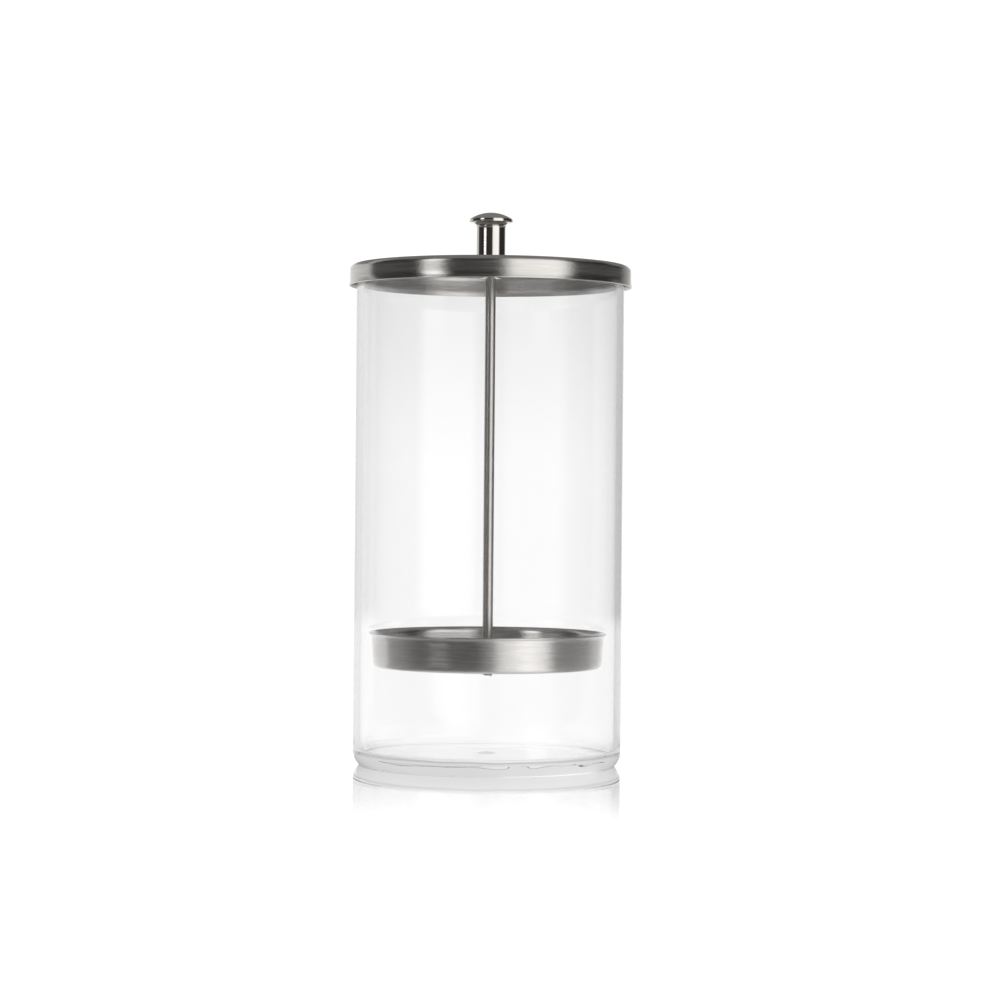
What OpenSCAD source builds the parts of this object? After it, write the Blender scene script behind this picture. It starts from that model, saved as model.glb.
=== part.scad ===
// Glass jar with a loose pressed lid and a lift-out tray.
// A knob, a rod and a tray are fastened together through the lid, so that lifting
// the knob brings the lid off the glass and the tray up out of it.
// Millimetres, +Z up. The origin is the middle of the surface that the jar stands on.

/* [Glass jar] */
// Outside diameter of the glass
jar_d = 100; // [96:1:120]
// Height of the glass, from the surface it stands on to the rim
jar_h = 185.4; // [120:0.2:240]
// Thickness of the glass wall
jar_wall = 2.5; // [2:0.1:3]
// Height of the inside floor above the surface that the jar stands on
jar_floor = 4; // [3:0.1:6]
// Outside radius where the wall turns into the base
jar_outer_corner = 7.3; // [5:0.1:9]
// How much of that corner is cut away by the flat that the jar stands on
jar_base_cut = 1.9; // [1:0.1:2.5]
// Inside radius of the same corner
jar_inner_corner = 3; // [1:0.1:5]
// How far the middle of the underside is raised
jar_punt = 0.8; // [0.2:0.1:1.5]
// Width of the flat ring that the jar stands on
jar_foot_w = 5.5; // [3:0.5:10]

/* [Lid] */
// Height of the lid, from its lower edge to its flat top
lid_h = 8; // [7:0.5:20]
// Gap between the lid's skirt and the glass
lid_gap = 2; // [1:0.1:3]
// Thickness of the pressed sheet
lid_t = 0.6; // [0.4:0.1:0.8]
// Outside radius where the top turns into the skirt
lid_corner = 2.1; // [1.5:0.1:4]
// How far the lower edge is flared out
lid_flare = 0.4; // [0.3:0.1:1]
// Height of the flare
lid_flare_h = 2.5; // [1:0.1:3]

/* [Rod] */
// Diameter of the rod, which is also the outside of its cut threads
rod_d = 3.9; // [3.5:0.1:4]
// How far the rod's lower end reaches below the tray
rod_tail = 3.4; // [3:0.1:8]
// Angle of the sheared lower end
rod_shear = 8; // [0:1:15]

/* [Knob] */
// Height of the knob above the lid
knob_h = 20; // [16:0.5:30]
// Diameter of the knob's stem
knob_stem_d = 10.8; // [9:0.1:12]
// Diameter of the knob's head
knob_head_d = 16.2; // [15:0.1:20]
// Height of the domed head
knob_head_h = 3.9; // [3:0.1:5]
// Height of the straight band round the head
knob_band_h = 1; // [0.8:0.1:1.6]
// Radius where that band turns into the dome
knob_edge_r = 0.65; // [0.4:0.05:1]
// Radius of the fillet under the head
knob_fillet = 1.9; // [1:0.1:1.9]
// Depth of the threaded hole in the knob
knob_bore_depth = 12.5; // [8:0.5:14]

/* [Tray] */
// Diameter over the tray's flared lip
tray_d = 88.6; // [70:0.2:88.6]
// Height of the tray
tray_h = 13.3; // [10:0.1:30]
// Height of the tray's underside above the surface that the jar stands on
tray_z = 36.4; // [15:0.2:60]
// Thickness of the pressed sheet
tray_t = 0.6; // [0.4:0.1:0.8]
// Outside radius where the wall turns into the floor
tray_corner = 2.1; // [1.5:0.1:5]
// How much smaller in radius the wall is at the floor than below the lip
tray_draft = 0.45; // [0:0.05:1.5]
// How far the lip is flared out
tray_lip = 1.05; // [0.5:0.05:2]
// Number of drain holes in the floor
drain_count = 8; // [4:1:16]
// Diameter of a drain hole
drain_d = 5; // [3:0.5:8]
// Diameter of the circle that the drain holes are on
drain_circle_d = 54; // [34:1:64]

/* [Nuts and washers] */
// Width across the flats of the hexagon nuts
nut_flats = 7; // [6:0.5:8]
// Height of a full nut
nut_h = 3.2; // [2.5:0.1:3.2]
// Height of the thin nut under the tray
thin_nut_h = 2.2; // [1.8:0.1:2.6]
// Diameter of a plain washer
washer_d = 9; // [8.5:0.5:12]
// Thickness of a plain washer
washer_t = 0.8; // [0.5:0.1:0.8]
// Diameter of the hole in a washer and in the tray
clear_hole_d = 4.3; // [4.2:0.1:4.5]

/* [Hidden] */
$fn = 96;

// Play between the rod and the lid, and between the lid and what holds it
running_gap = 0.08;
face_gap = 0.1;
// Air between the glass rim and the lid's ceiling
rim_gap = 0.2;
// Clearance between a thread and its nut
thread_gap = 0.05;
// Extra length that carries a cut past a face
over = 1;
// How far the line of the tray's wall runs on into the bend of its lip
bend_start = 0.1;

jar_r = jar_d / 2;
bore_r = jar_r - jar_wall;
// The corner's centre, and the radii of the ring that the jar stands on
jar_corner_h = jar_outer_corner - jar_base_cut;
jar_contact_r = jar_r - jar_outer_corner
    + sqrt(pow(jar_outer_corner, 2) - pow(jar_corner_h, 2));
foot_r = jar_contact_r - jar_foot_w;
punt_r = (pow(foot_r, 2) + pow(jar_punt, 2)) / (2 * jar_punt);

lid_ceiling_z = jar_h + rim_gap;
lid_top_z = lid_ceiling_z + lid_t;
lid_bottom_z = lid_top_z - lid_h;
lid_r = jar_r + lid_gap + lid_t;

rod_r = rod_d / 2;
thread_hole_r = rod_r + thread_gap;
rod_bottom_z = tray_z - rod_tail;
knob_z = lid_top_z + face_gap;
rod_top_z = knob_z + knob_bore_depth - over / 2;
rod_chamfer = 0.5;

knob_stem_r = knob_stem_d / 2;
// Centre of the round edge, and the radius of the dome that meets it smoothly
knob_rim_r = knob_head_d / 2 - knob_edge_r;
knob_top_h = knob_h - face_gap;
knob_under_h = knob_top_h - knob_head_h;
knob_rim_h = knob_under_h + knob_band_h;
knob_rise = knob_top_h - knob_rim_h;
knob_dome_r = (pow(knob_rim_r, 2) + pow(knob_rise, 2) - pow(knob_edge_r, 2))
    / (2 * (knob_rise - knob_edge_r));

lip_angle = 60;
lip_bend_r = tray_lip / (1 - cos(lip_angle));
lip_h = (lip_bend_r + tray_t) * sin(lip_angle);
tray_wall_r = tray_d / 2 - tray_lip;
tray_floor_z = tray_z + tray_t;

lid_washer_z = lid_ceiling_z - face_gap - washer_t;
lid_nut_z = lid_washer_z - nut_h;
tray_nut_z = tray_floor_z + washer_t;

// Half outline of a solid cup of radius r and height h with a round lower corner
module cup_outline(r, h, corner) {
    square([r - corner, h]);
    translate([0, corner]) square([r, h - corner]);
    translate([r - corner, corner]) circle(corner);
}

// Half outline of a solid cap with a round upper corner and a flared lower edge
module cap_outline(r, h, corner) {
    translate([0, lid_flare_h]) square([r, h - corner - lid_flare_h]);
    square([r - corner, h]);
    translate([r - corner, h - corner]) circle(corner);
    polygon([[0, 0], [r + lid_flare, 0], [r, lid_flare_h], [0, lid_flare_h]]);
}

// Half outline of a solid dish: a wall that leans out up to height h, then a bend of
// radius bend_r outwards. The wall's line runs on a little way into the bend.
module dish_outline(r, h, corner, bend_r) {
    foot_r = r - tray_draft;
    lean = tray_draft / (h - corner);
    difference() {
        union() {
            square([foot_r - corner, h]);
            translate([foot_r - corner, corner]) circle(corner);
            polygon([[0, corner], [foot_r, corner], [r + lean * bend_start, h + bend_start],
                     [r + bend_r, h + bend_start], [r + bend_r, h + bend_r], [0, h + bend_r]]);
        }
        translate([r + bend_r, h]) circle(bend_r);
    }
}

// Hexagon nut with its corners chamfered at both faces and a plain bore for the thread
module hex_nut(h) {
    corner_r = nut_flats / 2 / cos(30);
    face_r = nut_flats / 2 * 0.97;
    chamfer_h = (corner_r - face_r) * tan(30);
    difference() {
        intersection() {
            cylinder(h = h, r = corner_r, $fn = 6);
            rotate_extrude() polygon([[0, 0], [face_r, 0], [corner_r, chamfer_h],
                                      [corner_r, h - chamfer_h], [face_r, h], [0, h]]);
        }
        translate([0, 0, -over]) cylinder(h = h + 2 * over, r = thread_hole_r);
    }
}

module washer() {
    difference() {
        cylinder(h = washer_t, d = washer_d);
        translate([0, 0, -over]) cylinder(h = washer_t + 2 * over, d = clear_hole_d);
    }
}

// Straight-sided glass with a fire-rounded rim and a thick flat floor
module glass_jar() {
    color("lightcyan", 0.35) rotate_extrude($fn = 180) {
        difference() {
            translate([0, -jar_base_cut])
                cup_outline(jar_r, jar_h - jar_wall / 2 + jar_base_cut, jar_outer_corner);
            translate([0, -jar_d]) square([jar_d, jar_d]);
            translate([0, jar_floor]) cup_outline(bore_r, jar_h, jar_inner_corner);
            translate([0, jar_punt - punt_r]) circle(punt_r, $fn = 1800);
        }
        translate([jar_r - jar_wall / 2, jar_h - jar_wall / 2]) circle(jar_wall / 2);
    }
}

// Pressed cap that sits loosely over the rim, with a plain hole for the rod
module lid() {
    color("silver") translate([0, 0, lid_bottom_z]) rotate_extrude($fn = 180) difference() {
        cap_outline(lid_r, lid_h, lid_corner);
        cap_outline(lid_r - lid_t, lid_h - lid_t, lid_corner - lid_t);
        square([rod_r + running_gap, lid_h + over]);
    }
}

// Turned knob with a domed head, screwed on the rod
module knob() {
    normal = [knob_rim_r, knob_dome_r - knob_rise] / knob_edge_r;
    color("gainsboro") translate([0, 0, knob_z]) rotate_extrude() difference() {
        union() {
            square([knob_stem_r, knob_under_h]);
            difference() {
                translate([0, knob_under_h - knob_fillet])
                    square([knob_stem_r + knob_fillet, knob_fillet]);
                translate([knob_stem_r + knob_fillet, knob_under_h - knob_fillet])
                    circle(knob_fillet);
            }
            translate([0, knob_under_h]) square([knob_head_d / 2, knob_band_h]);
            translate([knob_rim_r, knob_rim_h]) circle(knob_edge_r);
            intersection() {
                translate([0, knob_top_h - knob_dome_r]) circle(knob_dome_r);
                translate([0, knob_rim_h])
                    polygon([[0, 0], [knob_rim_r, 0], [knob_rim_r, 0] + normal, [0, knob_h]]);
            }
        }
        translate([0, -over]) square([thread_hole_r, knob_bore_depth + over]);
    }
}

// Straight rod, chamfered at the knob and sheared off at the tray
module rod() {
    color("darkgray") difference() {
        union() {
            translate([0, 0, rod_bottom_z])
                cylinder(h = rod_top_z - rod_chamfer - rod_bottom_z, r = rod_r);
            translate([0, 0, rod_top_z - rod_chamfer])
                cylinder(h = rod_chamfer, r1 = rod_r, r2 = rod_r - rod_chamfer);
        }
        translate([rod_r, 0, rod_bottom_z]) rotate([0, rod_shear, 0])
            translate([-rod_d * 2, -rod_d, -rod_d]) cube([rod_d * 3, rod_d * 2, rod_d]);
    }
}

module lid_washer() {
    color("lightgray") translate([0, 0, lid_washer_z]) washer();
}

module lid_nut() {
    color("lightgray") translate([0, 0, lid_nut_z]) hex_nut(nut_h);
}

// Pressed dish with a flared lip, a hole for the rod and a ring of drain holes
module tray() {
    bend_h = tray_h - lip_h;
    color("silver") translate([0, 0, tray_z]) difference() {
        rotate_extrude($fn = 180) difference() {
            dish_outline(tray_wall_r, bend_h, tray_corner, lip_bend_r);
            translate([0, tray_t]) dish_outline(tray_wall_r - tray_t, bend_h - tray_t,
                                                tray_corner - tray_t, lip_bend_r + tray_t);
            square([clear_hole_d / 2, tray_h]);
            translate([tray_wall_r + lip_bend_r, bend_h]) rotate(-lip_angle)
                translate([-tray_d, 0]) square([tray_d * 2, tray_d]);
        }
        for (i = [0 : drain_count - 1])
            rotate([0, 0, i * 360 / drain_count]) translate([drain_circle_d / 2, 0, -over])
                cylinder(h = tray_t + 2 * over, d = drain_d);
    }
}

module tray_washer() {
    color("lightgray") translate([0, 0, tray_floor_z]) washer();
}

module tray_upper_nut() {
    color("lightgray") translate([0, 0, tray_nut_z]) rotate([0, 0, 15]) hex_nut(nut_h);
}

module tray_lower_nut() {
    color("lightgray") translate([0, 0, tray_z - thin_nut_h]) hex_nut(thin_nut_h);
}

glass_jar();
lid();
knob();
rod();
lid_washer();
lid_nut();
tray();
tray_washer();
tray_upper_nut();
tray_lower_nut();
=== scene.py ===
import math

import bmesh
import bpy
from mathutils import Matrix, Vector, noise


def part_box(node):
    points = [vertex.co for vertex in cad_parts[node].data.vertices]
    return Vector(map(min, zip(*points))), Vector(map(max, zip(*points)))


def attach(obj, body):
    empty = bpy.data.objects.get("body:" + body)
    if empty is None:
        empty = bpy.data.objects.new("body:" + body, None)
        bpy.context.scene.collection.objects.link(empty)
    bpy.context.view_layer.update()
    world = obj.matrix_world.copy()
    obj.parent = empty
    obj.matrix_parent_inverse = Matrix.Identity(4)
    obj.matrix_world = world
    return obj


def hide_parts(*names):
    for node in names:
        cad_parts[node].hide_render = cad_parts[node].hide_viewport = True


# A glass jar with a loose pressed lid and a lift-out tray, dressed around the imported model.
# Lengths in this script are millimetres until they reach a mesh, which is in metres.
MM = 0.001

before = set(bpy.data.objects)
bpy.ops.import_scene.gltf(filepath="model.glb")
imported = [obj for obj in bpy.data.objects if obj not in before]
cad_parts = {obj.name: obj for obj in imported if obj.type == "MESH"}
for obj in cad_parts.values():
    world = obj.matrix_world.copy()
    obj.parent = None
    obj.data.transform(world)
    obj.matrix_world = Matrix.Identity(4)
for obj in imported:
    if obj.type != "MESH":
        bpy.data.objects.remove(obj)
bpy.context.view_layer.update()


def top_of(node):
    """Height of a node's highest point at rest, in millimetres."""
    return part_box(node)[1].z / MM


def bottom_of(node):
    """Height of a node's lowest point at rest, in millimetres."""
    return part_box(node)[0].z / MM


def radius_of(node):
    """Largest radius of a round node about the axis, in millimetres."""
    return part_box(node)[1].x / MM


# ---------------------------------------------------------------- camera

CAMERA_DISTANCE = 1047
CAMERA_HEIGHT = 102.1
CAMERA_SIDE = 4.2
CAMERA_PITCH = math.radians(-0.18)
CAMERA_ROLL = math.radians(0.5)
CAMERA_LENS = 100.8


def make_camera():
    """A long-lens camera, nearly level, at the photograph's distance, height and slight roll."""
    data = bpy.data.cameras.new("camera")
    data.lens = CAMERA_LENS
    data.sensor_width = 36
    camera = bpy.data.objects.new("camera", data)
    bpy.context.scene.collection.objects.link(camera)
    place = Vector((CAMERA_SIDE, -CAMERA_DISTANCE, CAMERA_HEIGHT)) * MM
    turn = Matrix.Rotation(math.pi / 2 + CAMERA_PITCH, 4, "X") @ Matrix.Rotation(CAMERA_ROLL, 4, "Z")
    camera.matrix_world = Matrix.Translation(place) @ turn
    bpy.context.scene.camera = camera


make_camera()

# ---------------------------------------------------------------- node helpers


class Tree:
    """Adds nodes to a material's or the world's tree with few words."""

    def __init__(self, owner):
        owner.use_nodes = True
        self.nodes = owner.node_tree.nodes
        self.links = owner.node_tree.links
        self.nodes.clear()

    def add(self, kind, inputs=None, **settings):
        """One node; inputs maps socket names or numbers to values or to other nodes' outputs."""
        made = self.nodes.new(kind)
        for key, value in settings.items():
            setattr(made, key, value)
        for key, value in (inputs or {}).items():
            if isinstance(value, bpy.types.NodeSocket):
                self.links.new(value, made.inputs[key])
            else:
                made.inputs[key].default_value = value
        return made

    def math(self, operation, *values):
        return self.add("ShaderNodeMath", dict(enumerate(values)), operation=operation).outputs[0]

    def blend(self, amount, low, high):
        """A number that runs from low to high as amount runs from 0 to 1."""
        inputs = {"Value": amount, "To Min": low, "To Max": high}
        return self.add("ShaderNodeMapRange", inputs).outputs[0]

    def smooth(self, value, low, high, start=0.0, end=1.0):
        """A number that eases from start to end as value runs from low to high."""
        inputs = {"Value": value, "From Min": low, "From Max": high, "To Min": start, "To Max": end}
        return self.add("ShaderNodeMapRange", inputs, interpolation_type="SMOOTHSTEP").outputs[0]

    def blend_colour(self, amount, low, high):
        """A colour that runs from low to high. The Mix node has its colours at 6 and 7, the result at 2."""
        inputs = {"Factor": amount, 6: (*low, 1), 7: (*high, 1)}
        return self.add("ShaderNodeMix", inputs, data_type="RGBA").outputs[2]

    def ramp(self, amount, stops):
        """A grey that follows stops, which are (place, level) pairs with place from 0 to 1."""
        made = self.add("ShaderNodeValToRGB", {"Fac": amount})
        elements = made.color_ramp.elements
        made.color_ramp.interpolation = "EASE"
        while len(elements) < len(stops):
            elements.new(0.5)
        for element, (place, level) in zip(elements, stops):
            element.position = place
            element.color = (level, level, level, 1)
        return made.outputs["Color"]


def round_coordinates(tree):
    """Cosine and sine of the angle about the axis, the radius and the height, in the piece's own space."""
    place = tree.add("ShaderNodeTexCoord").outputs["Object"]
    xyz = tree.add("ShaderNodeSeparateXYZ", {0: place}).outputs
    radius = tree.math("SQRT", tree.math("ADD", tree.math("MULTIPLY", xyz[0], xyz[0]),
                                         tree.math("MULTIPLY", xyz[1], xyz[1])))
    safe = tree.math("MAXIMUM", radius, 1e-5)
    cosine = tree.math("DIVIDE", xyz[0], safe)
    sine = tree.math("DIVIDE", xyz[1], safe)
    return cosine, sine, radius, xyz[2]


def streaks(tree, along, across_z, across_r, detail):
    """Noise drawn out round the axis: along is how often it changes per turn, across how often per metre."""
    cosine, sine, radius, height = round_coordinates(tree)
    vector = tree.add("ShaderNodeCombineXYZ", {0: tree.math("MULTIPLY", cosine, along),
                                              1: tree.math("MULTIPLY", sine, along),
                                              2: tree.math("MULTIPLY", height, across_z)})
    inputs = {"Vector": vector.outputs[0], "W": tree.math("MULTIPLY", radius, across_r),
              "Scale": 1.0, "Detail": detail, "Roughness": 0.6}
    return tree.add("ShaderNodeTexNoise", inputs, noise_dimensions="4D").outputs["Fac"]


# ---------------------------------------------------------------- materials


def metal(name, grain, colour, dark, roughness, bump, anisotropic, turn=0.25, mark=0.0):
    """A bare metal. grain is a function of the tree that gives its scratches from 0 to 1.

    With the scratches the tone goes from dark to colour and the roughness through its range. bump is their
    strength and their depth in metres, turn the direction of the highlight as a share of a full turn, and
    mark how far smears change the roughness.
    """
    material = bpy.data.materials.new(name)
    tree = Tree(material)
    scratch = grain(tree)
    place = tree.add("ShaderNodeTexCoord").outputs["Object"]
    patch = tree.add("ShaderNodeTexNoise", {"Vector": place, "Scale": 60.0, "Detail": 3.0}).outputs["Fac"]
    shade = tree.math("ADD", tree.math("MULTIPLY", scratch, 0.75), tree.math("MULTIPLY", patch, 0.25))
    tone = tree.blend_colour(tree.blend(shade, 0.0, 1.0), dark, colour)
    rough = tree.blend(shade, roughness[0], roughness[1])
    if mark:
        smear = tree.add("ShaderNodeTexNoise", {"Vector": place, "Scale": 22.0, "Detail": 2.0}).outputs["Fac"]
        rough = tree.math("ADD", rough, tree.blend(smear, -mark, mark))
    normal = tree.add("ShaderNodeBump", {"Strength": bump[0], "Distance": bump[1], "Height": scratch})
    tangent = tree.add("ShaderNodeTangent", direction_type="RADIAL", axis="Z")
    surface = tree.add("ShaderNodeBsdfPrincipled",
                       {"Base Color": tone, "Metallic": 1.0, "Roughness": rough,
                        "Anisotropic": anisotropic, "Anisotropic Rotation": turn, "Normal": normal.outputs[0],
                        "Tangent": tangent.outputs[0]})
    tree.add("ShaderNodeOutputMaterial", {"Surface": surface.outputs[0]})
    return material


def spun_grain(tree):
    """Fine brushing round the axis, with a few longer and deeper scratches."""
    fine = streaks(tree, 6.0, 5200.0, 5200.0, 4.0)
    coarse = streaks(tree, 2.5, 1400.0, 1400.0, 3.0)
    both = tree.math("ADD", tree.math("MULTIPLY", fine, 0.62), tree.math("MULTIPLY", coarse, 0.38))
    return tree.add("ShaderNodeMapRange", {"Value": both, "From Min": 0.34, "From Max": 0.66}).outputs[0]


def drawn_grain(tree):
    """Fine lines along the length of a drawn rod."""
    cosine, sine, _, height = round_coordinates(tree)
    vector = tree.add("ShaderNodeCombineXYZ", {0: tree.math("MULTIPLY", cosine, 14.0),
                                              1: tree.math("MULTIPLY", sine, 14.0),
                                              2: tree.math("MULTIPLY", height, 25.0)})
    inputs = {"Vector": vector.outputs[0], "Scale": 1.0, "Detail": 5.0}
    return tree.add("ShaderNodeTexNoise", inputs).outputs["Fac"]


def polished_grain(tree):
    """The faint turning rings that polishing leaves on plated metal."""
    return streaks(tree, 1.5, 1300.0, 1300.0, 2.0)


def clear_glass():
    """Clear glass, faintly uneven, with hardly visible wiping marks."""
    material = bpy.data.materials.new("clear_glass")
    tree = Tree(material)
    place = tree.add("ShaderNodeTexCoord").outputs["Object"]
    stretch = tree.add("ShaderNodeMapping", {"Vector": place, "Scale": (1.0, 1.0, 0.15)}).outputs[0]
    wave = tree.add("ShaderNodeTexNoise", {"Vector": stretch, "Scale": 30.0, "Detail": 1.0}).outputs["Fac"]
    smear = tree.add("ShaderNodeTexNoise", {"Vector": place, "Scale": 45.0, "Detail": 4.0}).outputs["Fac"]
    rough = tree.blend(smear, 0.008, 0.018)
    tint = tree.blend_colour(smear, (0.985, 0.985, 0.99), (0.998, 0.998, 1.0))
    normal = tree.add("ShaderNodeBump", {"Strength": 0.05, "Distance": 0.0004, "Height": wave})
    surface = tree.add("ShaderNodeBsdfPrincipled",
                       {"Base Color": tint, "Roughness": rough, "IOR": 1.48,
                        "Transmission Weight": 1.0, "Normal": normal.outputs[0]})
    tree.add("ShaderNodeOutputMaterial", {"Surface": surface.outputs[0]})
    return material


LID_STEEL = metal("brushed_lid_steel", spun_grain, colour=(0.75, 0.73, 0.70), dark=(0.55, 0.535, 0.51),
                  roughness=(0.14, 0.27), bump=(0.35, 0.00004), anisotropic=0.85, mark=0.03)
TRAY_STEEL = metal("brushed_tray_steel", spun_grain, colour=(0.78, 0.76, 0.735), dark=(0.60, 0.585, 0.565),
                   roughness=(0.15, 0.28), bump=(0.35, 0.00004), anisotropic=0.85, mark=0.03)
ROD_STEEL = metal("drawn_rod_steel", drawn_grain, colour=(0.76, 0.735, 0.70), dark=(0.58, 0.56, 0.535),
                  roughness=(0.20, 0.34), bump=(0.35, 0.00003), anisotropic=0.4, turn=0.0)
KNOB_NICKEL = metal("polished_nickel", polished_grain, colour=(0.80, 0.765, 0.72), dark=(0.70, 0.665, 0.62),
                    roughness=(0.03, 0.09), bump=(0.25, 0.00005), anisotropic=0.0, mark=0.015)
BOLT_STEEL = metal("bright_fastener_steel", spun_grain, colour=(0.66, 0.65, 0.63), dark=(0.48, 0.47, 0.46),
                   roughness=(0.16, 0.36), bump=(0.30, 0.00004), anisotropic=0.3, mark=0.04)
GLASS = clear_glass()

# ---------------------------------------------------------------- outlines and turned meshes

# Segments round the jar, the lid and the tray. Smaller pieces have fewer.
SEGMENTS = 288
# Edges that turn by more than this many degrees are drawn sharp, where a piece doesn't set its own.
SHARP_ANGLE = 35

def arc(centre_r, centre_z, radius, start, end, steps):
    """Points of an arc about (centre_r, centre_z), angles in degrees, 0 pointing outwards and 90 up."""
    turns = (math.radians(start + (end - start) * i / steps) for i in range(steps + 1))
    return [(centre_r + radius * math.cos(t), centre_z + radius * math.sin(t)) for t in turns]


def straight(start, end, steps):
    """Points between two places, without the two ends."""
    return [tuple(s + (e - s) * i / steps for s, e in zip(start, end)) for i in range(1, steps)]


def both_faces(low, high, lower_half):
    """An outline with two like faces, from its lower half, whose heights are measured from the lower face."""
    lower = [(r, low + z) for r, z in lower_half]
    return lower + [(r, high - z) for r, z in reversed(lower_half)]


def add_piece(name, mesh, material, body, slot, *nodes):
    """Links a mesh as a piece that rides on a body and stands for CAD nodes."""
    piece = bpy.data.objects.new(name, mesh)
    bpy.context.scene.collection.objects.link(piece)
    mesh.materials.append(material)
    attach(piece, body)
    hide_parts(*nodes)
    return piece


def finish_mesh(name, grid, sharp_angle):
    """A mesh from a bmesh: doubles merged, faces turned outwards, smooth except at sharp edges."""
    bmesh.ops.remove_doubles(grid, verts=grid.verts, dist=1e-7)
    bmesh.ops.recalc_face_normals(grid, faces=grid.faces)
    mesh = bpy.data.meshes.new(name)
    grid.to_mesh(mesh)
    grid.free()
    mesh.shade_smooth()
    mesh.set_sharp_from_angle(angle=math.radians(sharp_angle))
    return mesh


def turned(name, outline, segments, shape=None, closed=True, sharp_angle=SHARP_ANGLE):
    """The mesh that an outline of (radius, height) points sweeps about the axis. shape may move a point."""
    grid = bmesh.new()
    columns = []
    for s in range(segments):
        angle = 2 * math.pi * s / segments
        column = []
        for r, z in outline:
            place = Vector((r * math.cos(angle), r * math.sin(angle), z))
            column.append(grid.verts.new((shape(place) if shape else place) * MM))
        columns.append(column)
    count = len(outline)
    last = count if closed else count - 1
    for s in range(segments):
        here, there = columns[s], columns[(s + 1) % segments]
        for i in range(last):
            j = (i + 1) % count
            corners = [here[i], there[i], there[j], here[j]]
            if outline[i][0] < 1e-9:
                corners.remove(there[i])
            if outline[j][0] < 1e-9:
                corners.remove(there[j])
            if len(corners) > 2:
                grid.faces.new(corners)
    return finish_mesh(name, grid, sharp_angle)


# ---------------------------------------------------------------- glass jar

JAR_WALL = 2.5
JAR_FLOOR = 4.0
JAR_OUTER_CORNER = 7.3
JAR_BASE_CUT = 1.9
# The ring that the jar stands on ends in a small broken edge, this high and this many times as wide.
JAR_EDGE_EASE = 0.35
JAR_EDGE_RUN = 1.6
JAR_INNER_CORNER = 3.0
JAR_PUNT = 0.8
JAR_FOOT = 5.5
JAR_NUB_R = 6.0
JAR_NUB_H = 0.6


def jar_corner():
    """The arc of the outside corner up to the wall, and the radius where the foot ring begins."""
    outer = radius_of("glass_jar")
    centre_z = JAR_OUTER_CORNER - JAR_BASE_CUT
    start = -math.degrees(math.asin((centre_z - JAR_EDGE_EASE) / JAR_OUTER_CORNER))
    corner = arc(outer - JAR_OUTER_CORNER, centre_z, JAR_OUTER_CORNER, start, 0, 14)
    return corner, corner[0][0] - JAR_EDGE_RUN * JAR_EDGE_EASE


def jar_punt(lift=0):
    """Points of the hollow underside from the middle out to the foot ring, lifted by an amount."""
    foot = jar_corner()[1] - JAR_FOOT
    steps = 14
    return [(foot * i / steps, JAR_PUNT * (1 - (i / steps) ** 2) + lift) for i in range(steps + 1)]


def jar_outline():
    """Closed outline of the glass, from the middle of the underside out, up, over the rim and back in."""
    outer = radius_of("glass_jar")
    bore = outer - JAR_WALL
    lip = JAR_WALL / 2
    rim = top_of("glass_jar") - lip
    corner, contact = jar_corner()
    ease = JAR_EDGE_EASE
    points = jar_punt() + straight((contact - JAR_FOOT, 0), (contact, 0), 4)
    points += [(contact, 0), (contact + ease * 0.9, ease * 0.25)]
    points += corner + straight(corner[-1], (outer, rim), 40)
    points += arc(outer - lip, rim, lip, 0, 180, 14)
    inner_start = (bore, JAR_FLOOR + JAR_INNER_CORNER)
    points += straight((bore, rim), inner_start, 40)
    points += arc(bore - JAR_INNER_CORNER, JAR_FLOOR + JAR_INNER_CORNER, JAR_INNER_CORNER, 0, -90, 12)
    flat = bore - JAR_INNER_CORNER
    steps = 40
    for i in range(1, steps + 1):
        r = flat * (1 - i / steps)
        swell = 0.5 + 0.5 * math.cos(math.pi * min(r / JAR_NUB_R, 1))
        points.append((r, JAR_FLOOR + JAR_NUB_H * swell))
    return points


JAR_BORE_R = radius_of("glass_jar") - JAR_WALL
# The unevenness of the floor dies out over this height above the inside corner.
UNEVEN_FADE = 5
# The glass is uneven in broad lumps and finer ripples, each one level slice through solid noise.
LUMP_WIDTH = 11
LUMP_HEIGHT = 0.16
LUMP_SLICE = 3.1
RIPPLE_WIDTH = 4.5
RIPPLE_HEIGHT = 0.05
RIPPLE_SLICE = 8.7
# Ripples grow from the middle out to this radius.
RIPPLE_FULL_R = 40


def uneven_glass(place):
    """Moves a point of the inside floor and corner a little, as flame-worked glass is never quite even."""
    r = math.hypot(place.x, place.y)
    above = place.z - JAR_FLOOR
    inside = -0.5 < above < JAR_INNER_CORNER + UNEVEN_FADE and r < JAR_BORE_R + 0.5
    if not inside:
        return place
    fade = max(0, 1 - max(0, above - JAR_INNER_CORNER) / UNEVEN_FADE)
    edge = min(1, r / RIPPLE_FULL_R)
    lump = noise.noise(Vector((place.x / LUMP_WIDTH, place.y / LUMP_WIDTH, LUMP_SLICE)))
    ripple = noise.noise(Vector((place.x / RIPPLE_WIDTH, place.y / RIPPLE_WIDTH, RIPPLE_SLICE)))
    rise = fade * (LUMP_HEIGHT * lump + RIPPLE_HEIGHT * ripple * edge)
    return place + Vector((0, 0, rise))


add_piece("jar_glass", turned("jar_glass", jar_outline(), SEGMENTS, shape=uneven_glass, sharp_angle=80),
          GLASS, "jar", "jar_glass", "glass_jar")

# ---------------------------------------------------------------- lid

LID_SHEET = 0.6
LID_CORNER = 2.1
LID_FLARE = 0.4
LID_FLARE_H = 2.5
LID_HOLE_R = 2.03
LID_HOLE_EASE = 0.1
LID_EDGE_R = 0.22


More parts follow.
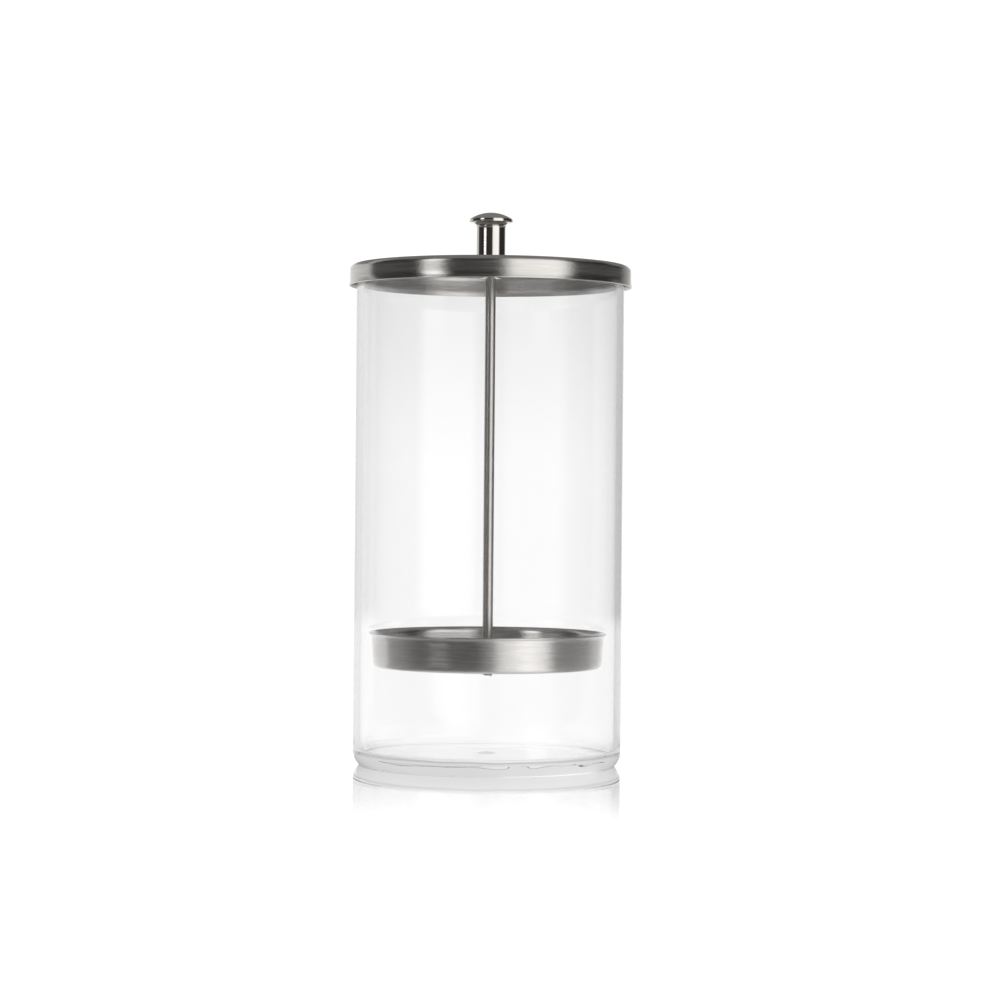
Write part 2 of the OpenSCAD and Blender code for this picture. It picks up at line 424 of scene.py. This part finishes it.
def lid_outline():
    """Closed outline of the pressed cap, from the hole out over the top, down the skirt and back inside."""
    top, bottom = top_of("lid"), bottom_of("lid")
    skirt = radius_of("lid") - LID_FLARE
    edge = LID_EDGE_R
    hole = LID_HOLE_R + LID_HOLE_EASE
    points = [(LID_HOLE_R, top - LID_HOLE_EASE), (hole, top)]
    points += straight((hole, top), (skirt - LID_CORNER, top), 24)
    points += arc(skirt - LID_CORNER, top - LID_CORNER, LID_CORNER, 90, 0, 14)
    points += straight((skirt, top - LID_CORNER), (skirt, bottom + LID_FLARE_H), 6)
    flare = 8
    rise = LID_FLARE_H - edge
    down = [(LID_FLARE * (i / flare) ** 2, LID_FLARE_H - rise * i / flare) for i in range(flare + 1)]
    points += [(skirt + out, bottom + z) for out, z in down]
    tip = skirt + LID_FLARE
    points += arc(tip - edge, bottom + edge, edge, 0, -90, 5)[1:]
    points += arc(tip - LID_SHEET + edge, bottom + edge, edge, -90, -180, 5)
    points += [(skirt + out - LID_SHEET, bottom + z) for out, z in reversed(down)][1:]
    inner = LID_CORNER - LID_SHEET
    points += straight((skirt - LID_SHEET, bottom + LID_FLARE_H), (skirt - LID_SHEET, top - LID_CORNER), 6)
    points += arc(skirt - LID_CORNER, top - LID_CORNER, inner, 0, 90, 10)
    ceiling = top - LID_SHEET
    points += straight((skirt - LID_CORNER, ceiling), (hole, ceiling), 24)
    points += [(hole, ceiling), (LID_HOLE_R, ceiling + LID_HOLE_EASE)]
    return points


add_piece("lid_cap", turned("lid_cap", lid_outline(), SEGMENTS), LID_STEEL, "lid", "lid_steel", "lid")

# ---------------------------------------------------------------- knob

KNOB_STEM_R = 5.4
KNOB_HEAD_H = 3.9
KNOB_BAND_H = 1.0
KNOB_EDGE_R = 0.65
KNOB_FILLET = 1.9
KNOB_BORE_R = 2.0
KNOB_BORE_DEPTH = 12.5
KNOB_BORE_CONE = 0.6
KNOB_CHAMFER = 0.3


def knob_outline():
    """Closed outline of the turned knob, from the mouth of its blind hole out and up to the crown."""
    top, bottom, head = top_of("knob"), bottom_of("knob"), radius_of("knob")
    under = top - KNOB_HEAD_H
    rim_r = head - KNOB_EDGE_R
    rim_z = under + KNOB_BAND_H
    rise = top - rim_z
    dome = (rim_r ** 2 + rise ** 2 - KNOB_EDGE_R ** 2) / (2 * (rise - KNOB_EDGE_R))
    meet = math.degrees(math.atan2(dome - rise, rim_r))
    chamfer = KNOB_CHAMFER
    bore_top = bottom + KNOB_BORE_DEPTH
    points = [(0, bore_top), (KNOB_BORE_R, bore_top - KNOB_BORE_CONE)]
    points += [(KNOB_BORE_R, bottom + chamfer), (KNOB_BORE_R + chamfer, bottom)]
    points += [(KNOB_STEM_R - chamfer, bottom)]
    points += arc(KNOB_STEM_R - chamfer, bottom + chamfer, chamfer, -90, 0, 5)[1:]
    points += straight((KNOB_STEM_R, bottom + chamfer), (KNOB_STEM_R, under - KNOB_FILLET), 20)
    points += arc(KNOB_STEM_R + KNOB_FILLET, under - KNOB_FILLET, KNOB_FILLET, 180, 90, 12)
    points += arc(head - chamfer, under + chamfer, chamfer, -90, 0, 5)
    points += arc(rim_r, rim_z, KNOB_EDGE_R, 0, meet, 8)
    points += arc(0, top - dome, dome, meet, 90, 24)[1:-1] + [(0, top)]
    return points


add_piece("knob_turned", turned("knob_turned", knob_outline(), 128),
          KNOB_NICKEL, "carrier", "knob_nickel", "knob")

# ---------------------------------------------------------------- rod and its threads

THREAD_PITCH = 0.7
THREAD_DEPTH = 0.42
ROD_SHEAR = math.radians(8)
ROD_COLUMNS = 64
ROD_CHAMFER = 0.5
# The slanted rows of the sheared end are level again at this height above its tip.
ROD_SHEAR_H = 1.2
THREAD_ROWS_PER_TURN = 8
# Half of the groove's width as a share of the pitch, and the height over which a thread runs out.
THREAD_HALF_GROOVE = 0.44
THREAD_RUN_OUT = 0.9
# How far the threads reach past the tray's upper nut and into the nut under the lid.
THREAD_PAST_TRAY_NUT = 2.2
THREAD_IN_LID_NUT = 0.2
# A thread that reaches a rod's end is counted on past it, so that it doesn't run out there.
THREAD_PAST_END = 2


def thread_cut(height, turn, low, high):
    """Depth of a 60 degree thread at a height and a turn from 0 to 1, running out at low and high."""
    phase = (height / THREAD_PITCH - turn) % 1
    groove = max(0, 1 - abs(phase - 0.5) / THREAD_HALF_GROOVE)
    run_out = min(1, max(0, (height - low) / THREAD_RUN_OUT), max(0, (high - height) / THREAD_RUN_OUT))
    return THREAD_DEPTH * groove * run_out


def rod_mesh():
    """A round rod with cut threads at both ends, chamfered at the top and sheared off below."""
    low, high, radius = bottom_of("rod"), top_of("rod"), radius_of("rod")
    lower_thread = (low - THREAD_PAST_END, top_of("tray_upper_nut") + THREAD_PAST_TRAY_NUT)
    upper_thread = (bottom_of("lid_nut") + THREAD_IN_LID_NUT, high + THREAD_PAST_END)
    fine = THREAD_PITCH / THREAD_ROWS_PER_TURN
    lower_rows = int((lower_thread[1] - low) / fine)
    upper_rows = int((high - upper_thread[0]) / fine)
    start = low + ROD_SHEAR_H
    heights = [start + (lower_thread[1] - start) * i / lower_rows for i in range(lower_rows + 1)]
    heights += [z for _, z in straight((0, lower_thread[1]), (0, upper_thread[0]), 60)]
    heights += [upper_thread[0] + (high - upper_thread[0]) * i / upper_rows for i in range(upper_rows + 1)]
    grid = bmesh.new()
    columns = []
    for c in range(ROD_COLUMNS):
        turn = c / ROD_COLUMNS
        angle = 2 * math.pi * turn
        cut_z = low + (radius - radius * math.cos(angle)) * math.tan(ROD_SHEAR)
        column = [cut_z + (start - cut_z) * i / 8 for i in range(8)] + heights
        verts = []
        for z in column:
            depth = thread_cut(z, turn, *lower_thread) + thread_cut(z, turn, *upper_thread)
            chamfer = max(0, ROD_CHAMFER - (high - z))
            r = min(radius - depth, radius - chamfer)
            verts.append(grid.verts.new(Vector((r * math.cos(angle), r * math.sin(angle), z)) * MM))
        columns.append(verts)
    for c in range(ROD_COLUMNS):
        here, there = columns[c], columns[(c + 1) % ROD_COLUMNS]
        for i in range(len(here) - 1):
            grid.faces.new((here[i], there[i], there[i + 1], here[i + 1]))
    for end in (0, -1):
        grid.faces.new([column[end] for column in columns])
    return finish_mesh("rod_drawn", grid, 50)


add_piece("rod_drawn", rod_mesh(), ROD_STEEL, "carrier", "rod_steel", "rod")

# ---------------------------------------------------------------- tray

# How far the edges of punched sheet are broken.
SHEET_EASE = 0.12
TRAY_SHEET = 0.6
TRAY_CORNER = 2.1
TRAY_DRAFT = 0.45
# The wall's lean from upright in degrees, which the arcs of the corner stop at.
TRAY_WALL_LEAN = 2.5
TRAY_LIP = 1.05
TRAY_LIP_ANGLE = 60
# How far the lip's round edge is set back, as a share of its radius.
TRAY_TIP_SET_BACK = 0.5
TRAY_HOLE_R = 2.15
DRAIN_COUNT = 8
DRAIN_R = 2.5
DRAIN_RING_R = 27


def tray_outline():
    """Closed outline of the pressed dish, from the hole out under the floor, up the wall and back inside."""
    low, high = bottom_of("tray"), top_of("tray")
    chamfer = SHEET_EASE
    lean = math.radians(TRAY_LIP_ANGLE)
    bend = TRAY_LIP / (1 - math.cos(lean))
    wall = radius_of("tray") - TRAY_LIP
    bend_z = high - (bend + TRAY_SHEET) * math.sin(lean)
    foot = wall - TRAY_DRAFT
    inner = TRAY_CORNER - TRAY_SHEET
    under = [(TRAY_HOLE_R, low + chamfer), (TRAY_HOLE_R + chamfer, low)]
    points = under + straight(under[1], (foot - TRAY_CORNER, low), 20)
    points += arc(foot - TRAY_CORNER, low + TRAY_CORNER, TRAY_CORNER, -90, -TRAY_WALL_LEAN, 14)
    points += straight((foot, low + TRAY_CORNER), (wall, bend_z), 14)
    outside = arc(wall + bend, bend_z, bend, 180, 180 - TRAY_LIP_ANGLE, 10)
    inside = arc(wall + bend, bend_z, bend + TRAY_SHEET, 180 - TRAY_LIP_ANGLE, 180, 10)
    round_r = TRAY_SHEET / 2
    tip_r = (outside[-1][0] + inside[0][0]) / 2
    tip_z = (outside[-1][1] + inside[0][1]) / 2
    points += outside[:-1]
    back_r = round_r * math.sin(lean) * TRAY_TIP_SET_BACK
    back_z = round_r * math.cos(lean) * TRAY_TIP_SET_BACK
    points += arc(tip_r - back_r, tip_z - back_z, round_r, -TRAY_LIP_ANGLE, 180 - TRAY_LIP_ANGLE, 8)
    points += inside[1:]
    floor = low + TRAY_SHEET
    points += straight((wall - TRAY_SHEET, bend_z), (foot - TRAY_SHEET, floor + inner), 14)
    points += arc(foot - TRAY_CORNER, floor + inner, inner, -TRAY_WALL_LEAN, -90, 10)
    points += straight((foot - TRAY_CORNER, floor), (TRAY_HOLE_R + chamfer, floor), 20)
    points += [(TRAY_HOLE_R + chamfer, floor), (TRAY_HOLE_R, floor - chamfer)]
    return points


def tray_mesh():
    """The turned dish with its ring of drain holes pierced through the floor."""
    low = bottom_of("tray")
    floor = low + TRAY_SHEET
    ease = SHEET_EASE
    wide = DRAIN_R + ease
    cutter_outline = [(0, low - 1), (wide, low - 1), (wide, low), (DRAIN_R, low + ease),
                      (DRAIN_R, floor - ease), (wide, floor), (wide, floor + 1), (0, floor + 1)]
    grid = bmesh.new()
    single = turned("drain_cutter", cutter_outline, 40)
    for i in range(DRAIN_COUNT):
        part = single.copy()
        turn = Matrix.Rotation(2 * math.pi * i / DRAIN_COUNT, 4, "Z")
        part.transform(turn @ Matrix.Translation((DRAIN_RING_R * MM, 0, 0)))
        grid.from_mesh(part)
        bpy.data.meshes.remove(part)
    cutters = bpy.data.meshes.new("drain_cutters")
    grid.to_mesh(cutters)
    grid.free()
    dish = bpy.data.objects.new("dish", turned("dish", tray_outline(), SEGMENTS))
    punch = bpy.data.objects.new("punch", cutters)
    for thing in (dish, punch):
        bpy.context.scene.collection.objects.link(thing)
    pierce = dish.modifiers.new("pierce", "BOOLEAN")
    pierce.object = punch
    pierce.operation = "DIFFERENCE"
    pierce.solver = "EXACT"
    evaluated = dish.evaluated_get(bpy.context.evaluated_depsgraph_get())
    mesh = bpy.data.meshes.new_from_object(evaluated)
    for thing in (dish, punch):
        bpy.data.objects.remove(thing)
    mesh.name = "tray_dish"
    mesh.set_sharp_from_angle(angle=math.radians(SHARP_ANGLE))
    return mesh


add_piece("tray_dish", tray_mesh(), TRAY_STEEL, "carrier", "tray_steel", "tray")

# ---------------------------------------------------------------- nuts and washers

NUT_FLATS = 7.0
NUT_BORE_R = 2.0
# How far the chamfer at the mouth of the bore reaches.
NUT_LEAD = 0.25
# Radius of the round face as a share of half the width across the flats, and the chamfer's slope.
NUT_FACE_SHARE = 0.97
NUT_CHAMFER = math.radians(30)
# A hair of a step keeps the rim of the round face sharp.
NUT_RIM_W = 0.05
NUT_RIM_H = 0.01
NUT_COLUMNS_PER_SIDE = 12
WASHER_R = 4.5
WASHER_HOLE_R = 2.15


def nut_mesh(name, low, high, turn):
    """A hexagon nut with both faces chamfered to a circle at its corners."""
    face_r = NUT_FLATS / 2 * NUT_FACE_SHARE
    count = 6 * NUT_COLUMNS_PER_SIDE
    grid = bmesh.new()
    columns = []
    for c in range(count):
        side = 2 * math.pi * c / count
        off = side % (math.pi / 3) - math.pi / 6
        hex_r = NUT_FLATS / 2 / math.cos(off)
        drop = (hex_r - face_r) * math.tan(NUT_CHAMFER)
        half = [(NUT_BORE_R, NUT_LEAD), (NUT_BORE_R + NUT_LEAD, 0), (face_r - NUT_RIM_W, 0)]
        half += [(face_r, NUT_RIM_H), (hex_r, drop)]
        angle = side + turn
        columns.append([grid.verts.new(Vector((r * math.cos(angle), r * math.sin(angle), z)) * MM)
                        for r, z in both_faces(low, high, half)])
    for c, here in enumerate(columns):
        there = columns[(c + 1) % count]
        for i in range(len(here)):
            j = (i + 1) % len(here)
            grid.faces.new((here[i], there[i], there[j], here[j]))
    return finish_mesh(name, grid, 20)


def washer_mesh(name, low, high):
    """A punched washer with softly broken edges."""
    ease = SHEET_EASE
    half = [(WASHER_HOLE_R, ease), (WASHER_HOLE_R + ease, 0), (WASHER_R - ease, 0), (WASHER_R, ease)]
    return turned(name, both_faces(low, high, half), 96)


for node, turn in (("lid_nut", 0), ("tray_upper_nut", 15), ("tray_lower_nut", 0)):
    mesh = nut_mesh(node + "_hex", bottom_of(node), top_of(node), math.radians(turn))
    add_piece(node + "_hex", mesh, BOLT_STEEL, "carrier", "fastener_steel", node)

for node in ("lid_washer", "tray_washer"):
    mesh = washer_mesh(node + "_ring", bottom_of(node), top_of(node))
    add_piece(node + "_ring", mesh, BOLT_STEEL, "carrier", "fastener_steel", node)

# ---------------------------------------------------------------- studio

# The floor fades away from this share of its radius outwards.
FLOOR_FADE = 0.7
FLOOR_R = 1400
FLOOR_DROP = 0.1
FLOOR_GLOW = 1.06
FLOOR_THROUGH = 1.05
MIRROR_STRENGTH = 0.92
GRAZING_GAIN = 1.7
FOOT_SHADE_R = 47
MIRROR_NEAR_R = 49
MIRROR_FAR_R = 220

BACKDROP_LEVEL = 1.1
# A painted reflection: the levels that metal beyond the jar's far wall mirrors, standing in for the inside of
# the lid's skirt.
FAR_SIDE_LEVELS = ((-180, 0.4), (-120, 0.3), (-70, 0.16), (-60, 0.16), (-54, 0.95), (-16, 0.95), (-10, 0.2),
                   (30, 0.3), (90, 0.4), (180, 0.4))
# Each list gives levels by degrees round the studio: 0 is the camera's side, 90 its right, 180 behind.
THROUGH_LEVELS = ((-180, 1.06), (-171, 1.06), (-167, 1.0), (-145, 0.92), (-110, 0.86), (110, 0.86),
                  (145, 0.72), (160, 0.84), (166, 1.04), (180, 1.06))
EDGE_LEVELS = ((-180, 0.8), (-176, 0.82), (-140, 0.82), (-60, 0.6), (60, 0.6), (140, 0.68), (176, 0.62),
               (180, 0.8))
ROOM_LEVELS = ((-180, 1.0), (-168, 1.0), (-160, 0.8), (-119, 0.66), (-109, 0.05), (-62, 0.025), (-26, 0.03),
               (8, 0.04), (19, 1.2), (59, 1.3), (75, 0.03), (131, 0.03), (143, 0.3), (158, 0.5), (168, 1.0),
               (180, 1.0))
FLOOR_LEVELS = ((-180, 1.1), (-150, 1.05), (-113, 0.85), (-105, 0.45), (-95, 0.34), (-62, 0.13), (-10, 0.11),
                (3, 0.35), (11, 0.95), (38, 1.5), (50, 1.2), (64, 0.34), (84, 0.3), (105, 0.4), (126, 0.75),
                (150, 1.1), (180, 1.1))


def levels_round(tree, sideways, away, levels):
    """A grey that follows levels by the direction's turn about the vertical."""
    turn = tree.math("ARCTAN2", sideways, tree.math("MULTIPLY", away, -1.0))
    share = tree.math("ADD", tree.math("DIVIDE", turn, 2 * math.pi), 0.5)
    top = max(level for _, level in levels)
    stops = [(0.5 + degrees / 360, level / top) for degrees, level in levels]
    return tree.math("MULTIPLY", tree.ramp(share, stops), top)


# A mirror image is inside the glass below the first count of crossed surfaces, since a path to metal and back
# out crosses four or more. Above the second count the metal is beyond the far wall.
IN_GLASS_CROSSINGS = 3.5
FAR_SIDE_CROSSINGS = 6.5


class Sight:
    """What kind of path has reached the studio, as switches that are 0 or 1.

    Only the floor is a perfect mirror, so a sharp reflection counts as a straight view of the surroundings.
    """

    def __init__(self, tree):
        path = tree.add("ShaderNodeLightPath").outputs
        passed = path["Transmission Depth"]
        few = tree.math("LESS_THAN", passed, IN_GLASS_CROSSINGS)
        self.through = tree.math("GREATER_THAN", passed, 0.5)
        bounced = tree.math("GREATER_THAN", path["Glossy Depth"], 0.5)
        sharp = tree.math("MULTIPLY", path["Is Singular Ray"], tree.math("SUBTRACT", 1.0, self.through))
        self.mirrored = tree.math("MULTIPLY", bounced, tree.math("SUBTRACT", 1.0, sharp))
        self.in_glass = tree.math("MULTIPLY", self.mirrored, tree.math("MULTIPLY", self.through, few))
        many = tree.math("GREATER_THAN", passed, FAR_SIDE_CROSSINGS)
        self.far_side = tree.math("MULTIPLY", self.mirrored, many)

    def choose(self, tree, direct, through, on_metal, in_glass):
        """The level for a straight view, one through glass, a mirror image in metal, and one inside glass."""
        unmirrored = tree.blend(self.through, direct, through)
        return tree.blend(self.in_glass, tree.blend(self.mirrored, unmirrored, on_metal), in_glass)


def make_floor():
    """A white acrylic floor that glows evenly, mirrors what stands close and isn't there from below."""
    grid = bmesh.new()
    bmesh.ops.create_circle(grid, cap_ends=True, segments=96, radius=FLOOR_R * MM)
    mesh = bpy.data.meshes.new("floor")
    grid.to_mesh(mesh)
    grid.free()
    floor = bpy.data.objects.new("floor", mesh)
    floor.location.z = -FLOOR_DROP * MM
    bpy.context.scene.collection.objects.link(floor)
    material = bpy.data.materials.new("white_acrylic")
    tree = Tree(material)
    radius = round_coordinates(tree)[2]
    xyz = tree.add("ShaderNodeSeparateXYZ", {0: tree.add("ShaderNodeTexCoord").outputs["Object"]}).outputs
    near = tree.smooth(radius, MIRROR_NEAR_R * MM, MIRROR_FAR_R * MM, MIRROR_STRENGTH, 0.0)
    sight = Sight(tree)
    banded = levels_round(tree, xyz[0], xyz[1], FLOOR_LEVELS)
    edge = levels_round(tree, xyz[0], xyz[1], EDGE_LEVELS)
    level = sight.choose(tree, FLOOR_GLOW, FLOOR_THROUGH, banded, edge)
    glow = tree.add("ShaderNodeEmission", {"Color": (1, 1, 1, 1), "Strength": level})
    gloss = tree.add("ShaderNodeBsdfGlossy", {"Color": (1, 1, 1, 1), "Roughness": 0.0})
    outside = tree.math("GREATER_THAN", radius, FOOT_SHADE_R * MM)
    first = tree.math("SUBTRACT", 1.0, tree.math("MAXIMUM", sight.mirrored, sight.through))
    grazing = tree.math("MULTIPLY", tree.add("ShaderNodeFresnel", {"IOR": 1.5}).outputs[0], GRAZING_GAIN)
    place = tree.math("MULTIPLY", near, outside)
    share = tree.math("MULTIPLY", tree.math("MULTIPLY", place, tree.math("MINIMUM", grazing, 1.0)), first)
    lit = tree.add("ShaderNodeMixShader", {0: share, 1: glow.outputs[0], 2: gloss.outputs[0]})
    below = tree.add("ShaderNodeNewGeometry").outputs["Backfacing"]
    far = tree.smooth(radius, FLOOR_FADE * FLOOR_R * MM, FLOOR_R * MM)
    gone = tree.math("MAXIMUM", below, far)
    clear = tree.add("ShaderNodeBsdfTransparent")
    shown = tree.add("ShaderNodeMixShader", {0: gone, 1: lit.outputs[0], 2: clear.outputs[0]})
    tree.add("ShaderNodeOutputMaterial", {"Surface": shown.outputs[0]})
    material.cycles.emission_sampling = "NONE"
    mesh.materials.append(material)


# Turns are in degrees, as in the lists above. A height is the upward part of a direction: 0 is the horizon
# and 1 straight up.
SPOT_TURN = -48
SPOT_HALF_WIDTH = 9
SPOT_HEIGHTS = (0.07, 0.5)
SPOT_LEVEL = 1.8
HORIZON_HEIGHTS = (-0.4, 0.045)
HORIZON_GLOW = 0.15
# The walls end between two heights, lower behind the object than in front of it.
WALL_TOP = (0.5, 0.8)
BACK_WALL_TOP = (0.2, 0.34)
ROOF_LEVEL = 0.22
# The view through glass falls to this share of its level between these heights.
DIMMER_HEIGHTS = (0.01, 0.07)
DIMMER_SHARE = 0.88


def soft_window(tree, value, low, high, ease):
    """1 between low and high, falling to 0 over ease on either side."""
    rise = tree.smooth(value, low - ease, low + ease)
    fall = tree.smooth(value, high - ease, high + ease, 1.0, 0.0)
    return tree.math("MULTIPLY", rise, fall)


def make_world():
    """Pale surroundings for the eye, and for reflections a dark room with lit walls and a high spot."""
    world = bpy.data.worlds.new("studio")
    bpy.context.scene.world = world
    tree = Tree(world)
    xyz = tree.add("ShaderNodeSeparateXYZ", {0: tree.add("ShaderNodeTexCoord").outputs["Generated"]}).outputs
    rising = {"Value": xyz[2], "From Min": DIMMER_HEIGHTS[0], "From Max": DIMMER_HEIGHTS[1],
              "To Min": 1.0, "To Max": DIMMER_SHARE}
    higher = tree.add("ShaderNodeMapRange", rising).outputs[0]
    through = tree.math("MULTIPLY", levels_round(tree, xyz[0], xyz[1], THROUGH_LEVELS), higher)
    edge = levels_round(tree, xyz[0], xyz[1], EDGE_LEVELS)
    room = levels_round(tree, xyz[0], xyz[1], ROOM_LEVELS)
    turn = tree.math("DEGREES", tree.math("ARCTAN2", xyz[0], tree.math("MULTIPLY", xyz[1], -1.0)))
    beside = soft_window(tree, turn, SPOT_TURN - SPOT_HALF_WIDTH, SPOT_TURN + SPOT_HALF_WIDTH, ease=4.0)
    height = soft_window(tree, xyz[2], *SPOT_HEIGHTS, ease=0.03)
    spot = tree.math("MULTIPLY", tree.math("MULTIPLY", beside, height), SPOT_LEVEL)
    low = tree.math("MULTIPLY", soft_window(tree, xyz[2], *HORIZON_HEIGHTS, ease=0.02), HORIZON_GLOW)
    behind = tree.math("GREATER_THAN", xyz[1], 0.5)
    wall_ends = [tree.blend(behind, front, back) for front, back in zip(WALL_TOP, BACK_WALL_TOP)]
    wall_top = tree.smooth(xyz[2], *wall_ends)
    walls = tree.math("ADD", tree.math("MAXIMUM", room, low), spot)
    roof = tree.blend(wall_top, walls, ROOF_LEVEL)
    sight = Sight(tree)
    # Metal seen beyond the far wall mirrors the painted reflection of the lid's skirt.
    on_metal = tree.blend(sight.far_side, roof, levels_round(tree, xyz[0], xyz[1], FAR_SIDE_LEVELS))
    level = sight.choose(tree, BACKDROP_LEVEL, through, on_metal, edge)
    glow = tree.add("ShaderNodeBackground", {"Color": (1, 1, 1, 1), "Strength": level})
    tree.add("ShaderNodeOutputWorld", {"Surface": glow.outputs[0]})
    world.cycles.sampling_method = "NONE"


# Size, lift and strengths of the painted glow disc inside the jar's base.
CONTACT_R = 47
CONTACT_DIM_R = 44
CONTACT_LIFT = 0.05
CONTACT_GLOW = 0.9
CONTACT_GUIDED = 0.72
CONTACT_EDGE = 0.5


def make_base_glow():
    """A glowing disc a hair inside the glass, where the glass rests on the floor, that paints light into the
    base; it is no lamp and no table.
    """
    outline = jar_punt(CONTACT_LIFT) + [(CONTACT_R, CONTACT_LIFT)]
    mesh = turned("base_glow_card", outline, 96, closed=False)
    contact = bpy.data.objects.new("base_glow_card", mesh)
    bpy.context.scene.collection.objects.link(contact)
    material = bpy.data.materials.new("painted_base_glow")
    tree = Tree(material)
    radius = round_coordinates(tree)[2]
    # The painted glow dims towards the disc's rim, and is weaker where metal mirrors it.
    dimming = {"Value": radius, "From Min": CONTACT_DIM_R * MM, "From Max": CONTACT_R * MM}
    at_edge = tree.add("ShaderNodeMapRange", dimming).outputs[0]
    middle = tree.blend(Sight(tree).mirrored, CONTACT_GLOW, CONTACT_GUIDED)
    level = tree.blend(at_edge, middle, CONTACT_EDGE)
    glow = tree.add("ShaderNodeEmission", {"Color": (1, 1, 1, 1), "Strength": level})
    below = tree.add("ShaderNodeNewGeometry").outputs["Backfacing"]
    clear = tree.add("ShaderNodeBsdfTransparent")
    shown = tree.add("ShaderNodeMixShader", {0: below, 1: glow.outputs[0], 2: clear.outputs[0]})
    tree.add("ShaderNodeOutputMaterial", {"Surface": shown.outputs[0]})
    material.cycles.emission_sampling = "NONE"
    mesh.materials.append(material)


make_floor()
make_base_glow()
make_world()

bpy.context.scene.view_settings.view_transform = "Standard"
